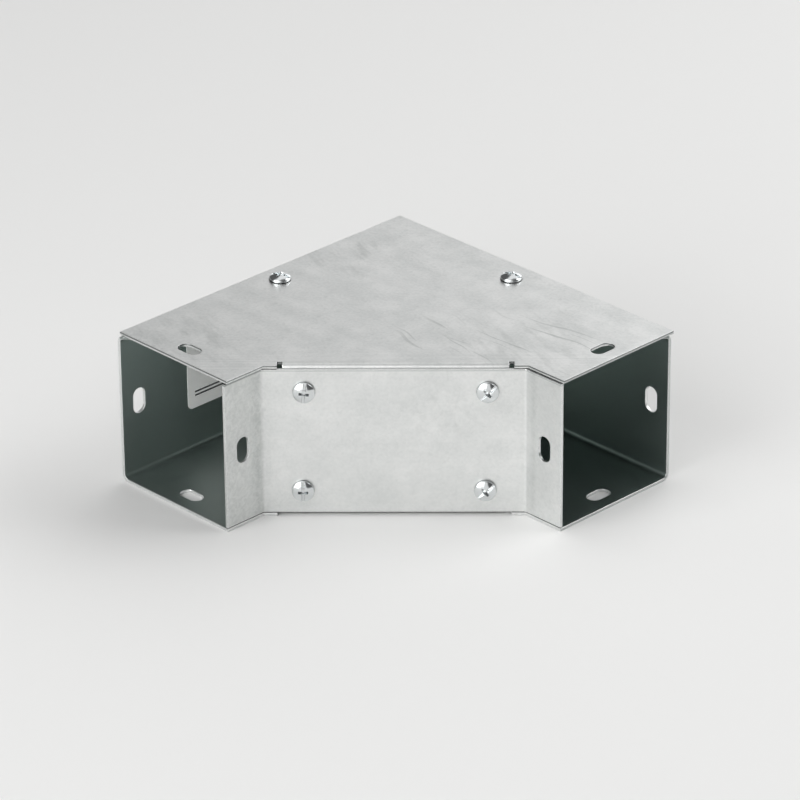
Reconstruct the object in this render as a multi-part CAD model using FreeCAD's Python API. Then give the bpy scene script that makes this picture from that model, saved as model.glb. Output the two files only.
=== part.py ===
import FreeCAD, Part
import math
import os
from FreeCAD import Vector

# Flat 90 degree bend for square sheet-steel trunking with a screwed lid.
# Origin: underside of the floor, where the centre lines of the two legs cross.
# One leg runs along +X, the other along -Y, and +Z points out of the lid.
# All sizes are in millimetres.

# Duct
duct_width = 63.5       # clear width of each leg
duct_height = 67.5      # clear height, floor to lid
sheet = 1.3             # thickness of the folded sheet
leg_length = 164.0      # outer corner to the end of a leg
stub_length = 20.3      # straight inner wall at each end, before the corner is cut off

# Folds
wall_fold = 2.0         # inside radius, floor to wall and wall to rim
flange_fold = 1.0       # inside radius, floor and lid to their flanges
plate_fold = 2.0        # inside radius of the two bends in the inner plate

# Rims along the tops of the outer walls, flanges behind the inner plate
rim_width = 18.0        # outer face of the wall to the free edge of the rim
flange_height = 20.0    # outside height of a flange
flange_corner = 3.0     # corners cut off the free edge of a flange
ear_length = 5.8        # sheet left flush beside each relief notch
relief_width = 2.1      # width of a relief notch
relief_over = 0.3       # how far a relief notch runs past its fold
plate_gap = 0.4         # inner plate to the floor, and to the lid

# Outer corner
lap_length = 14.0       # tab of one wall that lies on the inside of the other
lap_inset = 2.0         # ends of the tab, clear of the folds above and below
mitre_gap = 0.5         # between the two rims where they meet

# Joining slots near each end, one in each side of the duct
slot_width = 6.7
slot_length = 11.7
slot_from_end = 9.5     # end of the leg to the middle of the slot

# Screws
thread_dia = 4.8
head_dia = 9.3
head_height = 2.8
head_rim = 1.3          # straight part of the head, above the sheet
crown_dia = 8.7         # where the shoulder of the head turns into its domed crown
crown_rise = 1.2
crown_bands = 4         # straight bands that round the crown
screw_length = 9.5      # under the head
tip_length = 1.6
tip_dia = 3.4
clearance_dia = 7.0     # hole that a screw passes through freely
drive_slot_width = 1.3
drive_slot_depth = 1.6
cross_width = 1.2
cross_top = 4.6         # across the cross recess at the top of the head
cross_bottom = 2.0
cross_depth = 2.2

plate_screw_from_bend = 16.77   # end of the cut-off corner to the screw, along it
plate_screw_from_edge = 12.05   # outer face of the floor or the lid to the screw
lid_screw_from_side = 11.0      # outer face of the wall to the screw
lid_screw_from_corner = 81.0    # outer corner to the screw, along the wall
lid_slip = 1.0                  # lid and its screws lie this far along the cut corner, 0 is true

# Turn of the drive slot of each screw, degrees
lid_screw_turns = (20.0, 13.0)
plate_screw_turns = (135.0, 128.0, 82.0, 86.0)

# Sticker on the inside of the outer wall of the -Y leg
label_width = 46.0
label_height = 36.0
label_thickness = 0.15
label_corner = 2.5
label_from_end = 36.95          # end of the leg to the sticker
label_above_middle = 3.25       # middle of the wall up to the middle of the sticker

# Sizes that follow
width = duct_width + 2 * sheet
half = width / 2
height = duct_height + 2 * sheet
end = leg_length - half                     # end of a leg, from the origin
stub_start = end - stub_length
body_top = height - sheet
corner_length = (stub_start - half) * math.sqrt(2)
wall_outer = wall_fold + sheet
flange_outer = flange_fold + sheet
relief_depth = sheet + flange_outer + relief_over
flange_start = ear_length + relief_width
screw_low = plate_screw_from_edge
screw_high = height - plate_screw_from_edge

along = Vector(1, 1, 0).normalize()         # along the cut-off corner
outward = Vector(1, -1, 0).normalize()      # out of the cut-off corner
up = Vector(0, 0, 1)
corner_start = Vector(half, -stub_start, 0)
slip = along * lid_slip


def strip_face(path, radius, side, origin, u, v):
    """Face of a folded sheet. Its reference side follows path; side is 1 where the
    sheet lies left of the path and -1 where it lies right of it."""
    def lift(p):
        return origin + u * p[0] + v * p[1]

    def step(a, b):
        d = (b[0] - a[0], b[1] - a[1])
        n = math.hypot(*d)
        return (d[0] / n, d[1] / n)

    def shift(p, d, n):
        return (p[0] + d[0] * n, p[1] + d[1] * n)

    def flat(a, b):
        # a path may start right at a fold, where no flat is left
        return [Part.makeLine(lift(a), lift(b))] if math.dist(a, b) > 1e-6 else []

    dirs = [step(path[i], path[i + 1]) for i in range(len(path) - 1)]
    norms = [(-d[1] * side, d[0] * side) for d in dirs]
    near, far = [], []
    near_at, far_at = path[0], shift(path[0], norms[0], sheet)
    start = (near_at, far_at)
    for i in range(1, len(path) - 1):
        turn = dirs[i - 1][0] * dirs[i][1] - dirs[i - 1][1] * dirs[i][0]
        inner = turn * side > 0
        r = radius + sheet if inner else radius
        angle = math.acos(dirs[i - 1][0] * dirs[i][0] + dirs[i - 1][1] * dirs[i][1])
        run = r * math.tan(angle / 2)
        t1, t2 = shift(path[i], dirs[i - 1], -run), shift(path[i], dirs[i], run)
        sign = 1 if inner else -1
        centre = shift(t1, norms[i - 1], sign * r)
        mid = step((0, 0), (-sign * (norms[i - 1][0] + norms[i][0]), -sign * (norms[i - 1][1] + norms[i][1])))
        m1 = shift(centre, mid, r)
        m2 = shift(centre, mid, r - sign * sheet)
        f1, f2 = shift(t1, norms[i - 1], sheet), shift(t2, norms[i], sheet)
        near += flat(near_at, t1) + [Part.Arc(lift(t1), lift(m1), lift(t2)).toShape()]
        far += flat(far_at, f1) + [Part.Arc(lift(f1), lift(m2), lift(f2)).toShape()]
        near_at, far_at = t2, f2
    last_far = shift(path[-1], norms[-1], sheet)
    near += flat(near_at, path[-1])
    far += flat(far_at, last_far)
    caps = [Part.makeLine(lift(start[0]), lift(start[1])), Part.makeLine(lift(path[-1]), lift(last_far))]
    return Part.Face(Part.Wire(Part.__sortEdges__(near + far + caps)))


def plan_prism(points, bottom, top):
    wire = Part.makePolygon([Vector(x, y, bottom) for x, y in points + points[:1]])
    return Part.Face(wire).extrude(up * (top - bottom))


def slot_cutter(centre, long_dir, through):
    """Round-ended slot, cut both ways from centre along through."""
    reach = 3 * sheet
    side = long_dir.cross(through).normalize()
    a = long_dir * ((slot_length - slot_width) / 2)
    b = side * (slot_width / 2)
    base = centre - through * reach
    tip = long_dir * (slot_length / 2)
    edges = [Part.makeLine(base - a + b, base + a + b),
             Part.Arc(base + a + b, base + tip, base + a - b).toShape(),
             Part.makeLine(base + a - b, base - a - b),
             Part.Arc(base - a - b, base - tip, base - a + b).toShape()]
    return Part.Face(Part.Wire(Part.__sortEdges__(edges))).extrude(through * (2 * reach))


def hole_cutter(centre, axis, dia):
    reach = 3 * sheet
    return Part.makeCylinder(dia / 2, 2 * reach, centre - axis * reach, axis)


def corner_point(run, out=0.0):
    """Plan point by distance along the cut-off corner and outward from it."""
    p = corner_start + along * run + outward * out
    return (p.x, p.y)


def sheet_outline(outer_inset):
    """Outline of the floor or the lid, short of the folds on its sides."""
    o = half - outer_inset
    fold = -(sheet + flange_outer)
    far = corner_length - flange_start
    cut = [corner_point(0), corner_point(ear_length), corner_point(ear_length, -relief_depth),
           corner_point(flange_start, -relief_depth), corner_point(flange_start, fold),
           corner_point(far, fold), corner_point(far, -relief_depth),
           corner_point(corner_length - ear_length, -relief_depth),
           corner_point(corner_length - ear_length), corner_point(corner_length)]
    return [(-o, o), (-o, -end), (half, -end)] + cut + [(end, -half), (end, o)]


def corner_flange(level, direction):
    """Flange with its fold, standing behind the inner plate. level is the outer
    face of the floor or lid it grows from, direction is 1 up or -1 down."""
    path = [(-(sheet + flange_outer), 0), (-sheet, 0), (-sheet, flange_height)]
    origin = corner_start + along * flange_start + up * level
    face = strip_face(path, flange_fold, 1, origin, outward, up * direction)
    flange = face.extrude(along * (corner_length - 2 * flange_start))
    for run, sign in ((flange_start, 1), (corner_length - flange_start, -1)):
        tip = corner_start + along * run + up * (level + direction * flange_height)
        tri = [tip, tip + along * (sign * flange_corner), tip - up * (direction * flange_corner)]
        wire = Part.makePolygon(tri + tri[:1])
        wire.translate(outward * (-3 * sheet))
        flange = flange.cut(Part.Face(wire).extrude(outward * (4 * sheet)))
    return flange


def plate_screw_point(side, level, shift):
    """Point on the outer face of the inner plate where a screw goes through."""
    run = corner_length / 2 + side * (corner_length / 2 - plate_screw_from_bend)
    return corner_start + along * run + shift + up * level


def lid_screw_points():
    a, b = -half + lid_screw_from_side, half - lid_screw_from_corner
    return [Vector(a, b, height), Vector(-b, -a, height)]


def end_slots(level):
    """Slot cutters of a flat sheet across both legs."""
    reach = end - slot_from_end
    return [slot_cutter(Vector(0, -reach, level), Vector(1, 0, 0), up),
            slot_cutter(Vector(reach, 0, level), Vector(0, 1, 0), up)]


def outer_wall(toward_y):
    """Outer wall of one leg with the fold to the floor and the rim on top."""
    path = [(half - wall_outer, 0), (half, 0), (half, body_top), (half - rim_width, body_top)]
    if toward_y:
        # wall of the +X leg, it starts after the fold of the lap
        first = -half + sheet + wall_outer
        face = strip_face(path, wall_fold, 1, Vector(first, 0, 0), Vector(0, 1, 0), up)
        return face.extrude(Vector(end - first, 0, 0))
    face = strip_face(path, wall_fold, 1, Vector(0, -end, 0), Vector(-1, 0, 0), up)
    return face.extrude(Vector(0, end + half, 0))


def lap_tab():
    """Tab folded off the wall of the +X leg, flat on the inside of the other wall."""
    inner = -half + sheet
    path = [(inner + wall_outer, half), (inner, half), (inner, half - lap_length)]
    start = Vector(0, 0, wall_outer + lap_inset)
    face = strip_face(path, wall_fold, 1, start, Vector(1, 0, 0), Vector(0, 1, 0))
    return face.extrude(up * (body_top - 2 * (wall_outer + lap_inset)))


def rim_mitres():
    """Cutters for the mitred ends of the rims and the gap between them."""
    low, high = body_top - sheet - 0.01, body_top + 1
    w, m = rim_width + 1, wall_outer
    y_end = [(-half + m, -end - 1), (-half + w, -end - 1), (-half + w, -end + w - m), (-half + m, -end)]
    x_end = [(-y, -x) for x, y in y_end]
    ends = [plan_prism(y_end, low, high), plan_prism(x_end, low, high)]
    g = mitre_gap / math.sqrt(2)
    gap = plan_prism([(-half - 1, half + 1 - g), (-half - 1, half + 1 + g), (-half + w + g, half - w),
                      (-half + w - g, half - w)], body_top - wall_outer, high)
    return ends + [gap]


def make_body():
    floor = plan_prism(sheet_outline(wall_outer), 0, sheet)
    body = floor.fuse([outer_wall(False), outer_wall(True), lap_tab(), corner_flange(0, 1)])
    # square relief where the two floor folds meet at the outer corner
    r = wall_outer + relief_over
    relief = Part.makeBox(r + 1, r + 1, wall_outer + 1, Vector(-half - 1, half - r, -1))
    cutters = [relief] + rim_mitres() + end_slots(sheet / 2)
    reach, mid = end - slot_from_end, height / 2
    cutters += [slot_cutter(Vector(-half + sheet / 2, -reach, mid), up, Vector(1, 0, 0)),
                slot_cutter(Vector(reach, half - sheet / 2, mid), up, Vector(0, 1, 0))]
    cutters += [hole_cutter(p - up * (2 * sheet), up, thread_dia) for p in lid_screw_points()]
    cutters += [hole_cutter(plate_screw_point(s, screw_low, Vector()), outward, thread_dia) for s in (-1, 1)]
    return body.cut(cutters).removeSplitter()


def make_lid():
    lid = plan_prism(sheet_outline(0), body_top, height).fuse(corner_flange(height, -1))
    cutters = end_slots(height - sheet / 2)
    cutters += [hole_cutter(p - slip, up, clearance_dia) for p in lid_screw_points()]
    cutters += [hole_cutter(plate_screw_point(s, screw_high, Vector()), outward, thread_dia) for s in (-1, 1)]
    lid = lid.cut(cutters).removeSplitter()
    lid.translate(slip)
    return lid


def make_inner_plate():
    path = [(half, -end), (half, -stub_start), (stub_start, -half), (end, -half)]
    bottom = sheet + plate_gap
    face = strip_face(path, plate_fold, 1, Vector(0, 0, bottom), Vector(1, 0, 0), Vector(0, 1, 0))
    plate = face.extrude(up * (body_top - plate_gap - bottom))
    reach, mid = end - slot_from_end, height / 2
    cutters = [slot_cutter(Vector(half - sheet / 2, -reach, mid), up, Vector(1, 0, 0)),
               slot_cutter(Vector(reach, -half + sheet / 2, mid), up, Vector(0, 1, 0))]
    cutters += [hole_cutter(plate_screw_point(s, z, Vector()), outward, clearance_dia)
                for s in (-1, 1) for z in (screw_low, screw_high)]
    return plate.cut(cutters).removeSplitter()


def make_screw():
    """Pan head screw with a slot and a cross recess, head on z = 0, pointing down."""
    r, c = head_dia / 2, crown_dia / 2
    s, t = thread_dia / 2, tip_dia / 2
    # the crown is part of a ball, turned as a few straight bands
    ball = (c * c + crown_rise * crown_rise) / (2 * crown_rise)
    edge = math.asin(c / ball)
    side = [Vector(r, 0, head_rim)]
    for i in range(crown_bands, 0, -1):
        angle = edge * i / crown_bands
        side.append(Vector(ball * math.sin(angle), 0, head_height - ball * (1 - math.cos(angle))))
    shank = [Vector(0, 0, -screw_length), Vector(t, 0, -screw_length),
             Vector(s, 0, -screw_length + tip_length), Vector(s, 0, 0), Vector(r, 0, 0)]
    profile = shank + side + [Vector(0, 0, head_height)]
    screw = Part.Face(Part.makePolygon(profile + profile[:1])).revolve(Vector(), up, 360)
    slot = Part.makeBox(head_dia + 2, drive_slot_width, drive_slot_depth + 1,
                        Vector(-r - 1, -drive_slot_width / 2, head_height - drive_slot_depth))
    top, bottom = cross_top / 2, cross_bottom / 2
    low = head_height - cross_depth
    flare = (top - bottom) / cross_depth
    wing = [Vector(-bottom, -cross_width / 2, low), Vector(bottom, -cross_width / 2, low),
            Vector(top + flare, -cross_width / 2, head_height + 1),
            Vector(-top - flare, -cross_width / 2, head_height + 1)]
    blade = Part.Face(Part.makePolygon(wing + wing[:1])).extrude(Vector(0, cross_width, 0))
    other = blade.copy()
    other.rotate(Vector(), up, 90)
    return screw.cut([slot, blade, other]).removeSplitter()


def placed_screw(seat, axis, turn):
    screw = make_screw()
    screw.rotate(Vector(), up, turn)
    screw.Placement = FreeCAD.Placement(seat, FreeCAD.Rotation(up, axis)).multiply(screw.Placement)
    return screw


def make_lid_screws():
    places = zip(lid_screw_points(), lid_screw_turns)
    return Part.makeCompound([placed_screw(p, up, turn) for p, turn in places])


def make_plate_screws():
    seats = [plate_screw_point(s, z, slip if z == screw_high else Vector())
             for s in (-1, 1) for z in (screw_low, screw_high)]
    return Part.makeCompound([placed_screw(p, outward, turn) for p, turn in zip(seats, plate_screw_turns)])


def make_label():
    bottom = height / 2 + label_above_middle - label_height / 2
    box = Part.makeBox(label_thickness, label_width, label_height,
                       Vector(-half + sheet, -end + label_from_end, bottom))
    edges = [e for e in box.Edges if abs(e.tangentAt(e.FirstParameter).x) > 0.99]
    return box.makeFillet(label_corner, edges)


def main():
    os.makedirs("parts", exist_ok=True)
    nodes = {"body": make_body(), "lid": make_lid(), "inner_plate": make_inner_plate(),
             "lid_screws": make_lid_screws(), "plate_screws": make_plate_screws(), "label": make_label()}
    for name, shape in nodes.items():
        shape.exportStep("parts/%s.step" % name)
        box = shape.BoundBox
        print("%-13s solids %d  valid %s  volume %.1f  x %.2f..%.2f  y %.2f..%.2f  z %.2f..%.2f" % (
            name, len(shape.Solids), shape.isValid(), shape.Volume,
            box.XMin, box.XMax, box.YMin, box.YMax, box.ZMin, box.ZMax))


main()
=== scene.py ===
import math
import bmesh
import bpy
from mathutils import Matrix, Vector


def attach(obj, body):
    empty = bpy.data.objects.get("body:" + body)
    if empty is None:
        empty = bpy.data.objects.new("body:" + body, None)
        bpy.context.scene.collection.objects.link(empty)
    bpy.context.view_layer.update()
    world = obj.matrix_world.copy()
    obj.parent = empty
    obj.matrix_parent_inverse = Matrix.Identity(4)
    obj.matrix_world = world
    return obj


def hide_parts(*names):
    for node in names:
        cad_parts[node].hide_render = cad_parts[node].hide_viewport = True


# A flat right-angle bend of galvanised steel trunking, screwed shut.
# Lengths in the dictionaries are millimetres unless a note says otherwise.

mm = 0.001
probeRays = 6      # rays that look for a nearby edge or gap, at each point of a surface
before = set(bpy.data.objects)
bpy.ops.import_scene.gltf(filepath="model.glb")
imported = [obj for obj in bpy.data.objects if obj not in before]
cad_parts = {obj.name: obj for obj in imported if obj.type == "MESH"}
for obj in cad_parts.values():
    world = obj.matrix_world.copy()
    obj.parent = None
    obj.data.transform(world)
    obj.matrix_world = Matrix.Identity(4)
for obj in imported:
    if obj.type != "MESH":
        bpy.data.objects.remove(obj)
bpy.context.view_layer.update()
scene = bpy.context.scene
print("frame loaded:", ", ".join(sorted(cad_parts)))


def linear(hexColour):  # sRGB hex to the linear numbers that shaders take
    parts = [int(hexColour[i:i + 2], 16) / 255 for i in (1, 3, 5)]
    return [p / 12.92 if p <= 0.04045 else ((p + 0.055) / 1.055) ** 2.4 for p in parts] + [1.0]


# One node with its settings, values and links. It gives back one output, the first unless
# another is asked for. In a Mix node of colours, 0 is the share, 6 and 7 are the colours and
# output 2 is the result.
def addNode(tree, kind, inputs, output=0, **settings):
    made = tree.nodes.new(kind)
    for key, value in settings.items():
        setattr(made, key, value)
    for key, value in inputs.items():
        if isinstance(value, bpy.types.NodeSocket):
            tree.links.new(value, made.inputs[key])
        else:
            made.inputs[key].default_value = value
    return made.outputs[output] if made.outputs else None


def newMaterial(name):  # an empty material, its nodes and the place of a point on the piece
    material = bpy.data.materials.new(name)
    material.use_nodes = True
    tree = material.node_tree
    tree.nodes.clear()
    return material, tree, addNode(tree, "ShaderNodeTexCoord", {}, "Object")


def dress(nodeName, material):  # the frame's own piece gets a better finish
    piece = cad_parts[nodeName]
    for slot in piece.material_slots:
        slot.material = material
    if not piece.material_slots:
        piece.data.materials.append(material)


def meshObject(name, shape):
    mesh = bpy.data.meshes.new(name)
    shape.to_mesh(mesh)
    shape.free()
    made = bpy.data.objects.new(name, mesh)
    scene.collection.objects.link(made)
    return made


# Camera

cameraPlace = {
    "azimuth": 45.925,      # degrees, 0 looks along +Y
    "elevation": 26.877,
    "roll": -0.517,
    "distance": 2069.95,
    "aim": (39.39, -36.63, 30.0),
    "lens": 218.98,
    "sensor": 36.0,
    "farthest": 50000.0,    # beyond this nothing is drawn
}


def makeCamera(place):
    az, el, roll = (math.radians(place[k]) for k in ("azimuth", "elevation", "roll"))
    back = Vector((math.sin(az) * math.cos(el), -math.cos(az) * math.cos(el), math.sin(el)))
    right = Vector((math.cos(az), math.sin(az), 0))
    up = back.cross(right)
    rolledRight = right * math.cos(roll) + up * math.sin(roll)
    rolledUp = up * math.cos(roll) - right * math.sin(roll)
    data = bpy.data.cameras.new("camera")
    data.sensor_width = place["sensor"]
    data.lens = place["lens"]
    data.clip_end = place["farthest"] * mm
    camera = bpy.data.objects.new("camera", data)
    stand = (Vector(place["aim"]) + back * place["distance"]) * mm
    turned = Matrix((rolledRight, rolledUp, back)).transposed().to_4x4()
    camera.matrix_world = Matrix.Translation(stand) @ turned
    scene.collection.objects.link(camera)
    scene.camera = camera


makeCamera(cameraPlace)
print("camera placed")


# Galvanised sheet

# Hot-dip zinc, rolled smooth at the mill, so it has no flower pattern left, only soft clouds,
# a fine speckle, small grey flecks and faint lines along the rolling direction.
# Sheared edges carry a painted highlight and painted dark lines; painted shade greys folds, gaps
# and the duct's inside.
# A range gives the two values of a pattern between which its effect grows from none to all.
sheetLook = {
    "zinc": "#edeeed",
    "dullZinc": "#dee0df",       # the darker clouds
    "greyZinc": "#a9adab",       # flecks, scuffs and scratches, and the bands of painted shade
    "edgeHighlight": "#fdfdfd",       # painted highlight on the sheared edges
    "roughness": 0.40,
    "roughnessSwing": 0.10,      # dull zinc is rougher by half of it, bright zinc smoother
    "roughRange": (0.35, 0.65),
    "edgeRoughness": 0.30,
    "toneRange": (0.38, 0.62),
    "shares": (0.55, 0.33, 0.06),        # clouds, speckle and lines in the change of tone
    "cloud": 14.0,               # width of a cloud
    "speckle": 1.3,              # width of a grain, coarser than the real 0.3 so that it shows
    "line": 1.1,                 # spacing of the rolling lines, also coarser than the real 0.1
    "lineRun": 70.0,             # length of a rolling line
    "rolling": 0.0,              # degrees from +X, direction of the rolling lines
    "streakRun": (0.0, 90.0, 9.0, 0.0),  # broad soft streaks: degrees, length, spacing, share
    "pressed": None,             # lines a press brake left by a fold: direction, start, end, share
    "fleck": 2.4,                # width of a fleck
    "fleckRange": (0.56, 0.68),
    "flecks": 0.10,              # how grey the flecks are
    "paintedShadeBands": [],                # painted shade in patchy bands: direction, distance, half width, share
    "shadePatch": 2.2,                # width of a patch of that shade
    "shadePatchRange": (0.36, 0.66),
    "shadePatchLeast": 0.45,          # what is left of the grey between the patches
    "scuffs": [],                # centre, radius, share
    "scuffStroke": (-20.0, 15.0, 3.4),   # degrees, length, spacing
    "scuffRange": (0.46, 0.70),
    "scratches": [],             # centre, radius, degrees, share
    "scratchStroke": (42.0, 1.9),        # length, spacing
    "scratchBend": (30.0, 16.0),         # width of a bend, how far it sways
    "scratchRange": (0.65, 0.74),
    "insideShadeZinc": "#bac4c1",     # painted shade inside the duct: darker and a little green
    "insideDeepShadeZinc": "#98a3a0",     # deeper painted shade in the +X leg
    "insideBlend": 80.0,         # one goes over into the other from -this to this of x + y
    "insideJoin": "MAXIMUM",     # MAXIMUM: inside is below every plane, MINIMUM: below any of them
    # direction, distance
    "insidePlanes": [((-1, 0, 0), 31.8), ((0, 1, 0), 31.8), ((0, 0, -1), -1.25)],
    "edge": 0.50,                # rounding of the sheared edges
    "edgeRange": (0.998, 0.95),  # cosine between the rounded and the flat face
    "arrisShade": "#7d8381",          # painted shade: thin dark line on the rolled-over corner of each sheared edge, and the colour of all painted shade lines
    "arrisShadeRange": (0.86, 0.78),
    "arrisShadeShare": 0.6,
    "paintedShadeLines": [],             # painted shade lines: direction, distance, half width, share, side, start on that side
    "paintedShadeLineCore": 0.4,         # part of the half width that is fully dark
    "paintedShadeLineRange": (0.5, 0.3), # cosine between the line's direction and the face
    "shadedSide": None,            # edges facing it get painted shade: direction, share, start on that side
    "shadedSideRange": (0.72, 0.90),   # cosine between that direction and the face
    "gapShade": "#1d2020",       # painted shade in a gap
    "gapShare": 0.85,
    "gapRange": (0.78, 0.42),    # how open a point is, 1 with nothing near
    "gapReach": 1.1,             # how wide a gap counts
    "relief": (0.25, 0.05),      # strength, height
}


def pastPlane(tree, place, direction, distance):  # how far a point lies past a plane, in metres
    along = addNode(tree, "ShaderNodeVectorMath", {0: place, 1: direction}, "Value",
                    operation="DOT_PRODUCT")
    return addNode(tree, "ShaderNodeMath", {0: along, 1: distance * mm}, operation="SUBTRACT")


def band(tree, place, direction, distance, half, core, share):  # full within core, none at half
    past = pastPlane(tree, place, direction, distance)
    off = addNode(tree, "ShaderNodeMath", {0: past}, operation="ABSOLUTE")
    return addNode(tree, "ShaderNodeMapRange", {
        "Value": off, "From Min": half * mm, "From Max": core * mm, "To Max": share},
        interpolation_type="SMOOTHSTEP")


def spot(tree, place, centre, radius):  # none at the radius, full within 0.3 of it
    gap = addNode(tree, "ShaderNodeVectorMath", {0: place, 1: [c * mm for c in centre]}, "Value",
                  operation="DISTANCE")
    return addNode(tree, "ShaderNodeMapRange", {
        "Value": gap, "From Min": radius * mm, "From Max": radius * 0.3 * mm},
        interpolation_type="SMOOTHSTEP")


def streaks(tree, place, degrees, run, spacing, detail):  # noise drawn out along one direction
    turned = addNode(tree, "ShaderNodeMapping", {
        "Vector": place, "Rotation": (0, 0, math.radians(degrees)),
        "Scale": (run * mm, spacing * mm, spacing * mm)}, vector_type="TEXTURE")
    return addNode(tree, "ShaderNodeTexNoise", {"Vector": turned, "Scale": 1.0, "Detail": detail})


# greyer within a spot, where a pattern stands out
def marked(tree, grey, spotShare, pattern, patternRange, share):
    low, high = patternRange
    strokes = addNode(tree, "ShaderNodeMapRange", {
        "Value": pattern, "From Min": low, "From Max": high, "To Max": share},
        interpolation_type="SMOOTHSTEP")
    return addNode(tree, "ShaderNodeMath", {0: spotShare, 1: strokes, 2: grey},
                   operation="MULTIPLY_ADD")


def gapShaded(tree, colour, look):  # painted shade under a head, in a corner, between sheets
    openness = addNode(tree, "ShaderNodeAmbientOcclusion", {"Distance": look["gapReach"] * mm},
                       "AO", samples=probeRays)
    start, full = look["gapRange"]
    shade = addNode(tree, "ShaderNodeMapRange", {
        "Value": openness, "From Min": start, "From Max": full, "To Max": look["gapShare"]},
        interpolation_type="SMOOTHSTEP")
    return addNode(tree, "ShaderNodeMix", {0: shade, 6: colour, 7: linear(look["gapShade"])}, 2,
                   data_type="RGBA")


def zincTone(tree, place, look):  # clouds, speckle, rolling lines and broad streaks, about 0.5
    cloudShare, speckleShare, lineShare = look["shares"]
    clouds = addNode(tree, "ShaderNodeTexNoise", {
        "Vector": place, "Scale": 1 / (look["cloud"] * mm), "Detail": 3.0})
    speckle = addNode(tree, "ShaderNodeTexNoise", {
        "Vector": place, "Scale": 1 / (look["speckle"] * mm), "Detail": 2.0})
    lines = streaks(tree, place, look["rolling"], look["lineRun"], look["line"], 2.0)
    degrees, run, spacing, streakShare = look["streakRun"]
    broad = streaks(tree, place, degrees, run, spacing, 2.0)
    patterns = [(clouds, cloudShare), (speckle, speckleShare),
                (lines, lineShare), (broad, streakShare)]
    if look["pressed"]:
        direction, start, end, share = look["pressed"]
        past = pastPlane(tree, place, direction, start)
        beside = addNode(tree, "ShaderNodeMapRange", {
            "Value": past, "From Min": 0.0, "From Max": (end - start) * mm, "To Max": share},
            interpolation_type="SMOOTHSTEP")
        patterns.append((lines, beside))
    tone = 0.5
    for pattern, share in patterns:
        swing = addNode(tree, "ShaderNodeMath", {0: pattern, 1: 0.5}, operation="SUBTRACT")
        tone = addNode(tree, "ShaderNodeMath", {0: swing, 1: share, 2: tone},
                       operation="MULTIPLY_ADD")
    return tone


def zincWearAndShade(tree, place, look):  # how grey: flecks, bands of painted shade, scuffs and scratches
    noise = addNode(tree, "ShaderNodeTexNoise", {
        "Vector": place, "Scale": 1 / (look["fleck"] * mm), "Detail": 2.5, "Distortion": 0.6})
    low, high = look["fleckRange"]
    grey = addNode(tree, "ShaderNodeMapRange", {
        "Value": noise, "From Min": low, "From Max": high, "To Max": look["flecks"]},
        interpolation_type="SMOOTHSTEP")
    # painted shade in patchy bands
    for direction, distance, half, share in look["paintedShadeBands"]:
        shadeNoise = addNode(tree, "ShaderNodeTexNoise", {
            "Vector": place, "Scale": 1 / (look["shadePatch"] * mm), "Detail": 3.0, "Distortion": 0.8})
        low, high = look["shadePatchRange"]
        patches = addNode(tree, "ShaderNodeMapRange", {
            "Value": shadeNoise, "From Min": low, "From Max": high, "To Min": look["shadePatchLeast"]},
            interpolation_type="SMOOTHSTEP")
        beside = band(tree, place, direction, distance, half, 0.0, share)
        grey = addNode(tree, "ShaderNodeMath", {0: beside, 1: patches, 2: grey},
                       operation="MULTIPLY_ADD")
    for centre, radius, share in look["scuffs"]:
        rubbed = streaks(tree, place, *look["scuffStroke"], 4.0)
        here = spot(tree, place, centre, radius)
        grey = marked(tree, grey, here, rubbed, look["scuffRange"], share)
    for centre, radius, degrees, share in look["scratches"]:
        width, sway = look["scratchBend"]
        bent = addNode(tree, "ShaderNodeTexNoise", {
            "Vector": place, "Scale": 1 / (width * mm), "Detail": 1.0}, "Color")
        swayed = addNode(tree, "ShaderNodeVectorMath", {
            0: bent, 1: (sway * mm, sway * mm, 0), 2: place}, operation="MULTIPLY_ADD")
        thin = streaks(tree, swayed, degrees, *look["scratchStroke"], 0.5)
        here = spot(tree, place, centre, radius)
        grey = marked(tree, grey, here, thin, look["scratchRange"], share)
    return grey


def insideDuct(tree, place, look):  # 1 on the faces inside the duct, and their colour of painted shade
    side = None
    for direction, distance in look["insidePlanes"]:
        past = pastPlane(tree, place, direction, distance)
        side = past if side is None else addNode(tree, "ShaderNodeMath", {0: side, 1: past},
                                                 operation=look["insideJoin"])
    inside = addNode(tree, "ShaderNodeMath", {0: side, 1: 0.0}, operation="LESS_THAN")
    reach = look["insideBlend"] * mm
    along = pastPlane(tree, place, (1, 1, 0), 0.0)
    leg = addNode(tree, "ShaderNodeMapRange", {
        "Value": along, "From Min": -reach, "From Max": reach})
    colour = addNode(tree, "ShaderNodeMix", {
        0: leg, 6: linear(look["insideShadeZinc"]), 7: linear(look["insideDeepShadeZinc"])}, 2, data_type="RGBA")
    return inside, colour


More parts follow.
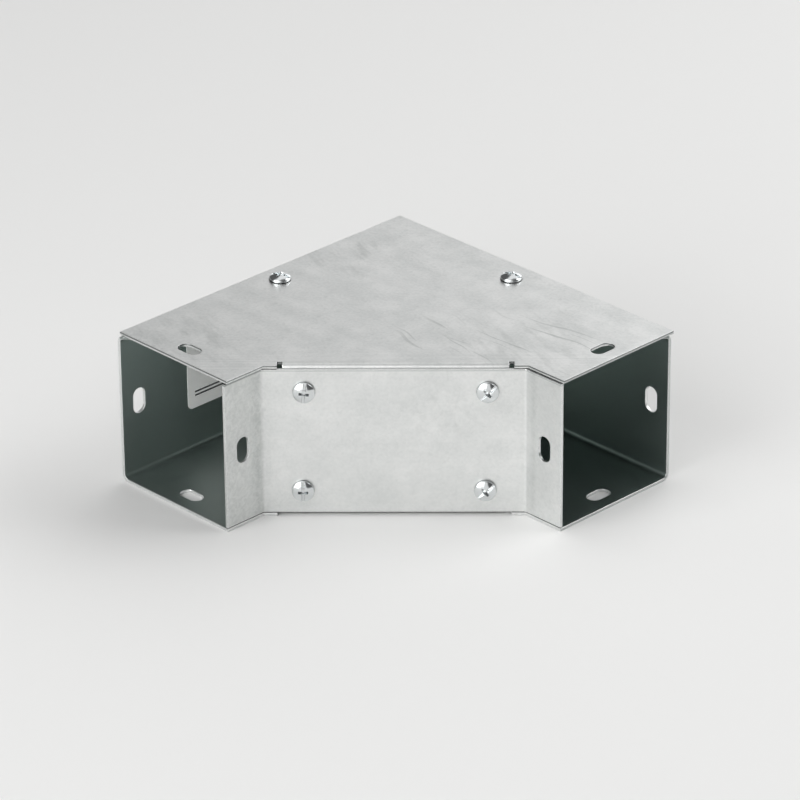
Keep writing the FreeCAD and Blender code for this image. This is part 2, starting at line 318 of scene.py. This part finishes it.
def paintedEdgeLight(tree, place, colour, rounded, look):  # painted highlight on the edges, painted dark lines and painted shade
    flat = addNode(tree, "ShaderNodeNewGeometry", {}, "Normal")
    lean = addNode(tree, "ShaderNodeVectorMath", {0: rounded, 1: flat}, "Value",
                   operation="DOT_PRODUCT")
    dark = linear(look["arrisShade"])
    # painted highlight: faces near a rounded edge turn almost white
    low, high = look["edgeRange"]
    edge = addNode(tree, "ShaderNodeMapRange", {"Value": lean, "From Min": low, "From Max": high})
    colour = addNode(tree, "ShaderNodeMix", {0: edge, 6: colour, 7: linear(look["edgeHighlight"])}, 2,
                     data_type="RGBA")
    # painted shade: a dark line where the rounded edge leans furthest
    low, high = look["arrisShadeRange"]
    arrisShade = addNode(tree, "ShaderNodeMapRange", {
        "Value": lean, "From Min": low, "From Max": high, "To Max": look["arrisShadeShare"]})
    colour = addNode(tree, "ShaderNodeMix", {0: arrisShade, 6: colour, 7: dark}, 2, data_type="RGBA")

    def facing(direction, limits, share, side, distance):  # faces turned one way, past a plane
        start, full = limits
        along = addNode(tree, "ShaderNodeVectorMath", {0: flat, 1: direction}, "Value",
                        operation="DOT_PRODUCT")
        if start > full:      # faces across the direction, whichever way they look
            along = addNode(tree, "ShaderNodeMath", {0: along}, operation="ABSOLUTE")
        turned = addNode(tree, "ShaderNodeMapRange", {
            "Value": along, "From Min": start, "From Max": full, "To Max": share},
            interpolation_type="SMOOTHSTEP")
        past = pastPlane(tree, place, side, distance)
        there = addNode(tree, "ShaderNodeMath", {0: past, 1: 0.0}, operation="GREATER_THAN")
        return addNode(tree, "ShaderNodeMath", {0: turned, 1: there}, operation="MULTIPLY")

    shades = []
    # painted shade lines along given planes
    for direction, distance, half, share, side, beyond in look["paintedShadeLines"]:
        line = band(tree, place, direction, distance, half, half * look["paintedShadeLineCore"], share)
        across = facing(direction, look["paintedShadeLineRange"], 1.0, side, beyond)
        shades.append(addNode(tree, "ShaderNodeMath", {0: line, 1: across}, operation="MULTIPLY"))
    # painted shade on the edges that face one side
    if look["shadedSide"]:
        direction, share, beyond = look["shadedSide"]
        shades.append(facing(direction, look["shadedSideRange"], share, direction, beyond))
    for shade in shades:
        colour = addNode(tree, "ShaderNodeMix", {0: shade, 6: colour, 7: dark}, 2,
                         data_type="RGBA")
    return edge, colour


def galvanisedSteel(name, look):
    material, tree, place = newMaterial(name)
    blend = zincTone(tree, place, look)
    low, high = look["toneRange"]
    tone = addNode(tree, "ShaderNodeMapRange", {"Value": blend, "From Min": low, "From Max": high})
    colour = addNode(tree, "ShaderNodeMix", {
        0: tone, 6: linear(look["dullZinc"]), 7: linear(look["zinc"])}, 2, data_type="RGBA")
    grey = zincWearAndShade(tree, place, look)
    colour = addNode(tree, "ShaderNodeMix", {0: grey, 6: colour, 7: linear(look["greyZinc"])}, 2,
                     data_type="RGBA")
    # painted shade inside the duct
    inside, insideShadeColour = insideDuct(tree, place, look)
    colour = addNode(tree, "ShaderNodeMix", {0: inside, 6: colour, 7: insideShadeColour}, 2,
                     data_type="RGBA")
    rounded = addNode(tree, "ShaderNodeBevel", {"Radius": look["edge"] * mm}, samples=probeRays)
    edge, colour = paintedEdgeLight(tree, place, colour, rounded, look)
    colour = gapShaded(tree, colour, look)
    swing = look["roughnessSwing"] / 2
    low, high = look["roughRange"]
    rough = addNode(tree, "ShaderNodeMapRange", {
        "Value": blend, "From Min": low, "From Max": high,
        "To Min": look["roughness"] + swing, "To Max": look["roughness"] - swing})
    smoother = addNode(tree, "ShaderNodeMath", {0: look["edgeRoughness"], 1: rough},
                       operation="SUBTRACT")
    rough = addNode(tree, "ShaderNodeMath", {0: edge, 1: smoother, 2: rough},
                    operation="MULTIPLY_ADD")
    strength, height = look["relief"]
    relief = addNode(tree, "ShaderNodeBump", {
        "Height": blend, "Strength": strength, "Distance": height * mm, "Normal": rounded})
    shader = addNode(tree, "ShaderNodeBsdfPrincipled", {
        "Base Color": colour, "Metallic": 1.0, "Roughness": rough, "Normal": relief})
    addNode(tree, "ShaderNodeOutputMaterial", {"Surface": shader})
    return material


bodyLook = sheetLook | {
    "arrisShadeShare": 0.2,
    "paintedShadeLines": [((0, 0, 1), 68.2, 1.0, 0.65, (1, -1, 0), 99)],   # painted shade on the ends of its rims at the mouths
    "shadedSide": ((1, 0, 0), 0.35, 120),
    "gapRange": (0.55, 0.25),
}
dress("body", galvanisedSteel("galvanisedBody", bodyLook))

lidLook = sheetLook | {
    "rolling": 45.0,
    "streakRun": (4.0, 90.0, 9.0, 0.25),
    "pressed": ((0.7071, -0.7071, 0), 84.0, 96.0, 0.35),
    "paintedShadeBands": [((0.7071, 0.7071, 0), -130, 110, 0.16)],     # painted shade toward its left corner
    "scuffs": [((-18, -10, 70.1), 28, 0.30), ((-5, -117, 70.1), 34, 0.26),
               ((95, -24, 70.1), 48, 0.20)],
    "scratches": [((98, -20, 70.1), 46, 3.0, 0.45), ((66, -38, 70.1), 26, -8.0, 0.5)],
    "insidePlanes": [((0, 0, 1), 68.85), ((0.7071, -0.7071, 0), 97.9)],
    "arrisShade": "#6a706e",
    "paintedShadeLines": [((0, 0, 1), 69.8, 0.42, 0.85, (0, 0, 1), 0)],    # painted shade under the edge of its top face
    "shadedSide": ((1, 0, 0), 0.35, 120),
}
dress("lid", galvanisedSteel("galvanisedLid", lidLook))

plateLook = sheetLook | {
    "rolling": 45.0,
    "shares": (0.45, 0.26, 0.05),
    "flecks": 0.07,
    # painted shade at the folds and over the stub of the -Y leg
    "paintedShadeBands": [((0, 1, 0), -113.0, 6.0, 0.28), ((0, 1, 0), -128.0, 26.0, 0.35),
               ((1, 0, 0), 115.0, 2.5, 0.20)],
    "scuffs": [((85, -58, 50), 26, 0.12)],
    "insideJoin": "MINIMUM",
    "insidePlanes": [((1, 0, 0), 31.8), ((0, -1, 0), 31.8), ((0.7071, -0.7071, 0), 100.36)],
    "paintedShadeLines": [((0, 0, 1), 67.8, 0.45, 0.3, (0, 0, 1), 0),        # painted shade all along its top edge
                  ((0, 0, 1), 68.15, 0.5, 0.7, (0, -1, 0), 110.7)],  # and darker painted shade by the -Y mouth
    "shadedSide": ((0.7071, 0, 0.7071), 0.85, 100),
    "gapShare": 1.0,
    "gapRange": (0.62, 0.25),
}
dress("inner_plate", galvanisedSteel("galvanisedPlate", plateLook))
print("sheets finished")


# Screws

# Pan heads of steel, barrel plated with zinc and left bright, so they mirror the room softly.
screwLook = {
    "head": 9.3,
    "headHeight": 2.78,
    "underside": 0.55,          # rounded lower edge of the head
    "crown": 8.7,               # across the domed crown, inside the rounded shoulder
    "crownRise": 1.2,
    "headSteps": (96, 6, 16),   # faces round the head, up each rounded edge and up the crown
    "slot": (1.3, 1.6),         # width, depth
    "cross": (1.2, 4.6, 2.0, 2.2),     # wing width, across the top, across the bottom, depth
    "thread": (4.8, 4.0, 0.8),  # over the crests, over the roots, pitch
    "threadSteps": (24, 6),     # faces round the thread and along one pitch
    "shank": 9.5,
    "tip": (1.6, 3.4),          # length, width at the end
    "sharpAngle": 35.0,         # degrees, edges above it stay sharp
    "plating": "#dfe2e3",
    "patch": 1.5,               # plating is a little uneven, in patches this wide
    "patchRange": (0.3, 0.7),
    "roughness": (0.05, 0.17),  # least and most
    "edge": 0.12,               # rounding of the edges that were cut or struck
    "relief": (0.3, 0.02),      # strength, height
    # painted shade under the heads and in their recesses
    "gapShade": "#161818",
    "gapShare": 0.9,
    "gapRange": (0.72, 0.38),
    "gapReach": 0.9,
}

# seats: point under the head, direction the head faces, turn of the drive slot in degrees
lidScrewSeats = [((-22.05, -47.95, 70.1), (0, 0, 1), 20), ((47.95, 22.05, 70.1), (0, 0, 1), 13)]
plateScrewSeats = [((44.908, -98.792, 12.05), (1, -1, 0), 135),
                   ((45.615, -98.085, 58.05), (1, -1, 0), 128),
                   ((98.792, -44.908, 12.05), (1, -1, 0), 82),
                   ((99.499, -44.201, 58.05), (1, -1, 0), 86)]


def ring(shape, radius, z, steps):  # corners round the Z axis, or one on it
    if radius == 0:
        return [shape.verts.new((0, 0, z))]
    turns = [2 * math.pi * i / steps for i in range(steps)]
    return [shape.verts.new((radius * math.cos(t), radius * math.sin(t), z)) for t in turns]


def turnedShape(profile, steps):  # profile of (radius, height), turned round the Z axis
    shape = bmesh.new()
    rings = [ring(shape, radius, z, steps) for radius, z in profile]
    for low, high in zip(rings, rings[1:]):
        for i in range(steps):
            j = (i + 1) % steps
            if len(low) == 1:
                shape.faces.new([low[0], high[j], high[i]])
            elif len(high) == 1:
                shape.faces.new([low[i], low[j], high[0]])
            else:
                shape.faces.new([low[i], low[j], high[j], high[i]])
    return shape


def prism(points, axis, width):  # outline in the plane across axis, as thick as width, centred
    shape = bmesh.new()
    ends = []
    for side in (-width / 2, width / 2):
        ends.append([shape.verts.new((x, side, z) if axis == "y" else (side, x, z))
                     for x, z in points])
    shape.faces.new(ends[0])
    shape.faces.new(ends[1][::-1])
    for i in range(len(points)):
        j = (i + 1) % len(points)
        shape.faces.new([ends[0][i], ends[1][i], ends[1][j], ends[0][j]])
    bmesh.ops.recalc_face_normals(shape, faces=shape.faces)
    return shape


def headProfile(look):
    r, c, h = look["head"] / 2, look["crown"] / 2, look["headHeight"]
    rise, under = look["crownRise"], look["underside"]
    edgeSteps, crownSteps = look["headSteps"][1:]
    ball = (c * c + rise * rise) / (2 * rise)      # radius of the ball that the crown is cut from
    edge = math.asin(c / ball)
    bend = math.pi / 2 - edge      # from the straight side to the slope at the crown's edge
    shoulder = (r - c) / (1 - math.cos(bend))
    profile = [(0, 0)]
    for i in range(edgeSteps + 1):      # underside rolled up into the side
        turn = math.pi / 2 * i / edgeSteps
        profile.append((r - under + under * math.sin(turn), under * (1 - math.cos(turn))))
    for i in range(edgeSteps + 1):
        turn = bend * i / edgeSteps
        profile.append((r - shoulder * (1 - math.cos(turn)),
                        h - rise - shoulder * (math.sin(bend) - math.sin(turn))))
    for i in range(1, crownSteps + 1):
        turn = edge * (1 - i / crownSteps)
        profile.append((ball * math.sin(turn), h - ball * (1 - math.cos(turn))))
    return profile


def screwHead(look):
    r, h = look["head"] / 2, look["headHeight"]
    head = meshObject("head", turnedShape(headProfile(look), look["headSteps"][0]))
    width, depth = look["slot"]
    wing, top, bottom, deep = look["cross"]
    spare = 1      # how far the cutters stand past the head
    flare = (top - bottom) / 2 / deep * spare
    blade = [(-bottom / 2, h - deep), (bottom / 2, h - deep),
             (top / 2 + flare, h + spare), (-top / 2 - flare, h + spare)]
    groove = [(-r - spare, h - depth), (r + spare, h - depth),
              (r + spare, h + spare), (-r - spare, h + spare)]
    cutters = [meshObject("slot", prism(groove, "y", width)),
               meshObject("wingA", prism(blade, "y", wing)),
               meshObject("wingB", prism(blade, "x", wing))]
    for cutter in cutters:
        cut = head.modifiers.new("cut", "BOOLEAN")
        cut.operation = "DIFFERENCE"
        cut.solver = "EXACT"
        cut.object = cutter
    finished = bpy.data.meshes.new_from_object(
        head.evaluated_get(bpy.context.evaluated_depsgraph_get()))
    for used in cutters + [head]:
        bpy.data.objects.remove(used)
    return finished


def screwThread(look):
    crest, root, pitch = look["thread"]
    tipLength, tipWidth = look["tip"]
    around, perPitch = look["threadSteps"]
    rows = int(look["shank"] / pitch * perPitch)
    shape = bmesh.new()
    rings = []
    for k in range(rows + 1):
        z = -look["shank"] * k / rows
        fade = min(1.0, (look["shank"] + z) / tipLength)      # 0 at the tip
        corners = []
        for i in range(around):
            turn = i / around
            wave = abs(((z / pitch + turn) % 1) * 2 - 1)      # ridge of the thread
            radius = min(root + (crest - root) * wave, tipWidth + (crest - tipWidth) * fade) / 2
            angle = 2 * math.pi * turn
            corner = (radius * math.cos(angle), radius * math.sin(angle), z)
            corners.append(shape.verts.new(corner))
        rings.append(corners)
    for upper, lower in zip(rings, rings[1:]):
        for i in range(around):
            j = (i + 1) % around
            shape.faces.new([upper[i], lower[i], lower[j], upper[j]])
    shape.faces.new(rings[-1][::-1])
    shape.faces.new(rings[0])
    mesh = bpy.data.meshes.new("thread")
    shape.to_mesh(mesh)
    shape.free()
    return mesh


def placeScrews(name, parts, seats, material, nodeName):
    shape = bmesh.new()
    for point, facing, turn in seats:
        spin = Matrix.Rotation(math.radians(turn), 4, "Z")
        tilt = Vector((0, 0, 1)).rotation_difference(Vector(facing)).to_matrix().to_4x4()
        seat = Matrix.Scale(mm, 4) @ Matrix.Translation(point) @ tilt @ spin
        for part in parts:
            copy = part.copy()
            copy.transform(seat)
            shape.from_mesh(copy)
    piece = meshObject(name, shape)
    piece.data.polygons.foreach_set("use_smooth", [True] * len(piece.data.polygons))
    piece.data.set_sharp_from_angle(angle=math.radians(screwLook["sharpAngle"]))
    piece.data.materials.append(material)
    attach(piece, "root")
    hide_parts(nodeName)


def brightZinc(name, look):
    material, tree, place = newMaterial(name)
    patches = addNode(tree, "ShaderNodeTexNoise", {
        "Vector": place, "Scale": 1 / (look["patch"] * mm), "Detail": 3.0})
    low, high = look["patchRange"]
    least, most = look["roughness"]
    rough = addNode(tree, "ShaderNodeMapRange", {
        "Value": patches, "From Min": low, "From Max": high, "To Min": least, "To Max": most})
    rounded = addNode(tree, "ShaderNodeBevel", {"Radius": look["edge"] * mm}, samples=probeRays)
    strength, height = look["relief"]
    relief = addNode(tree, "ShaderNodeBump", {
        "Height": patches, "Strength": strength, "Distance": height * mm, "Normal": rounded})
    shader = addNode(tree, "ShaderNodeBsdfPrincipled", {
        "Base Color": gapShaded(tree, linear(look["plating"]), look),
        "Metallic": 1.0, "Roughness": rough, "Normal": relief})
    addNode(tree, "ShaderNodeOutputMaterial", {"Surface": shader})
    return material


plating = brightZinc("brightZincPlate", screwLook)
screwParts = [screwHead(screwLook), screwThread(screwLook)]
placeScrews("lidScrews", screwParts, lidScrewSeats, plating, "lid_screws")
placeScrews("plateScrews", screwParts, plateScrewSeats, plating, "plate_screws")
print("screws made")


# Sticker

# Paper with a matt clay coating, so it is even and bright, with two bars in flat dark ink, and a
# faint painted glow.
stickerLook = {
    "paper": "#fdfdfb",
    "fibreShade": "#9a9a97",                # the shade that the fibres bring, and its share
    "fibreShare": 0.06,
    "fibre": 0.6,                           # width of a fibre clump
    "paintedGlow": 0.08,                     # painted light: the paper glows faintly so that it stays bright in the shade of the duct
    "ink": "#3a3c3d",
    "bars": [(27.4, 28.2), (25.7, 26.5)],   # bottom and top of each bar above the underside
    "barEnds": (-90.0, -62.0),              # along Y
    "roughness": 0.55,
    "relief": (0.2, 0.02),                  # strength, height
}


def within(tree, value, low, high):  # 1 between two distances
    above = addNode(tree, "ShaderNodeMath", {0: value, 1: low * mm}, operation="GREATER_THAN")
    below = addNode(tree, "ShaderNodeMath", {0: value, 1: high * mm}, operation="LESS_THAN")
    return addNode(tree, "ShaderNodeMath", {0: above, 1: below}, operation="MULTIPLY")


def coatedPaper(name, look):
    material, tree, place = newMaterial(name)
    y = addNode(tree, "ShaderNodeSeparateXYZ", {"Vector": place}, "Y")
    z = addNode(tree, "ShaderNodeSeparateXYZ", {"Vector": place}, "Z")
    ink = 0.0
    for low, high in look["bars"]:
        bar = within(tree, z, low, high)
        ink = addNode(tree, "ShaderNodeMath", {0: bar, 1: ink}, operation="MAXIMUM")
    ink = addNode(tree, "ShaderNodeMath", {0: ink, 1: within(tree, y, *look["barEnds"])},
                  operation="MULTIPLY")
    fibre = addNode(tree, "ShaderNodeTexNoise", {
        "Vector": place, "Scale": 1 / (look["fibre"] * mm), "Detail": 3.0})
    shade = addNode(tree, "ShaderNodeMapRange", {"Value": fibre, "To Max": look["fibreShare"]})
    colour = addNode(tree, "ShaderNodeMix", {
        0: shade, 6: linear(look["paper"]), 7: linear(look["fibreShade"])}, 2, data_type="RGBA")
    colour = addNode(tree, "ShaderNodeMix", {0: ink, 6: colour, 7: linear(look["ink"])}, 2,
                     data_type="RGBA")
    strength, height = look["relief"]
    relief = addNode(tree, "ShaderNodeBump", {
        "Height": fibre, "Strength": strength, "Distance": height * mm})
    # painted light: a faint glow in the paper's own colour
    shader = addNode(tree, "ShaderNodeBsdfPrincipled", {
        "Base Color": colour, "Roughness": look["roughness"], "Normal": relief,
        "Emission Color": colour, "Emission Strength": look["paintedGlow"]})
    addNode(tree, "ShaderNodeOutputMaterial", {"Surface": shader})
    return material


dress("label", coatedPaper("coatedPaper", stickerLook))
print("sticker finished")


# Studio: a pale floor, a soft room with dark sides and six soft boxes

studioLook = {
    "floor": "#ebebea",
    "floorSize": 8000.0,
    "floorDrop": 0.05,              # below the underside, so that the two don't flicker
    "floorRoughness": 0.8,
    "floorGrain": 2.5,              # width of the orange peel that a roller leaves in paint
    "floorRelief": (0.1, 0.05),     # strength, height
    "room": "#ffffff",
    "roomStrength": 0.832,
    "darkRoom": "#686868",          # open sides of the room, dark patches in bright metal
    "darkSides": [(0.936, 0.082, 0.342), (0.512, 0.137, 0.848), (-0.694, -0.583, 0.423),
                  (-0.819, 0.0, 0.574), (0.44, 0.87, 0.20)],
    "darkRange": (0.80, 0.87),      # cosines of the angle where one ends and where it is full
    "boxAim": (40, -40, 30),
    "boxes": [((100, 200, 2200), 2400, 2.4),      # place, side length, watts
              ((-228, 1232, 750), 1000, 1.8),
              ((-300, -1700, 1400), 1200, 12.8),
              ((250, -1900, 520), 1000, 7.2),
              ((644, -1701, 854), 1300, 5.6),
              ((900, 1240, 1280), 1400, 17.8)],
}


def paintedFloor(name, look):  # matt paint, rolled on, which keeps the reflections soft
    material, tree, place = newMaterial(name)
    grain = addNode(tree, "ShaderNodeTexNoise", {
        "Vector": place, "Scale": 1 / (look["floorGrain"] * mm), "Detail": 2.0})
    strength, height = look["floorRelief"]
    relief = addNode(tree, "ShaderNodeBump", {
        "Height": grain, "Strength": strength, "Distance": height * mm})
    shader = addNode(tree, "ShaderNodeBsdfPrincipled", {
        "Base Color": linear(look["floor"]), "Roughness": look["floorRoughness"],
        "Normal": relief})
    addNode(tree, "ShaderNodeOutputMaterial", {"Surface": shader})
    return material


def makeFloor(look):
    shape = bmesh.new()
    bmesh.ops.create_grid(shape, x_segments=1, y_segments=1, size=look["floorSize"] / 2 * mm)
    floor = meshObject("floor", shape)
    floor.location.z = -look["floorDrop"] * mm
    floor.data.materials.append(paintedFloor("paintedFloor", look))


def makeRoom(look):
    world = bpy.data.worlds.new("room")
    scene.world = world
    world.use_nodes = True
    tree = world.node_tree
    tree.nodes.clear()
    way = addNode(tree, "ShaderNodeTexCoord", {}, "Generated")
    near = -1.0
    for side in look["darkSides"]:
        along = addNode(tree, "ShaderNodeVectorMath", {0: way, 1: side}, "Value",
                        operation="DOT_PRODUCT")
        near = addNode(tree, "ShaderNodeMath", {0: near, 1: along}, operation="MAXIMUM")
    start, full = look["darkRange"]
    dark = addNode(tree, "ShaderNodeMapRange", {
        "Value": near, "From Min": start, "From Max": full}, interpolation_type="SMOOTHSTEP")
    walls = addNode(tree, "ShaderNodeMix", {
        0: dark, 6: linear(look["room"]), 7: linear(look["darkRoom"])}, 2, data_type="RGBA")
    room = addNode(tree, "ShaderNodeBackground", {
        "Color": walls, "Strength": look["roomStrength"]})
    addNode(tree, "ShaderNodeOutputWorld", {"Surface": room})


def hangBoxes(look):
    for i, (place, side, watts) in enumerate(look["boxes"]):
        data = bpy.data.lights.new("softBox%d" % i, "AREA")
        data.size = side * mm
        data.energy = watts
        box = bpy.data.objects.new("softBox%d" % i, data)
        box.location = Vector(place) * mm
        toAim = Vector(look["boxAim"]) - Vector(place)
        box.rotation_euler = toAim.to_track_quat("-Z", "Y").to_euler()
        scene.collection.objects.link(box)


makeFloor(studioLook)
makeRoom(studioLook)
hangBoxes(studioLook)
scene.view_settings.view_transform = "Standard"
print("studio lit")
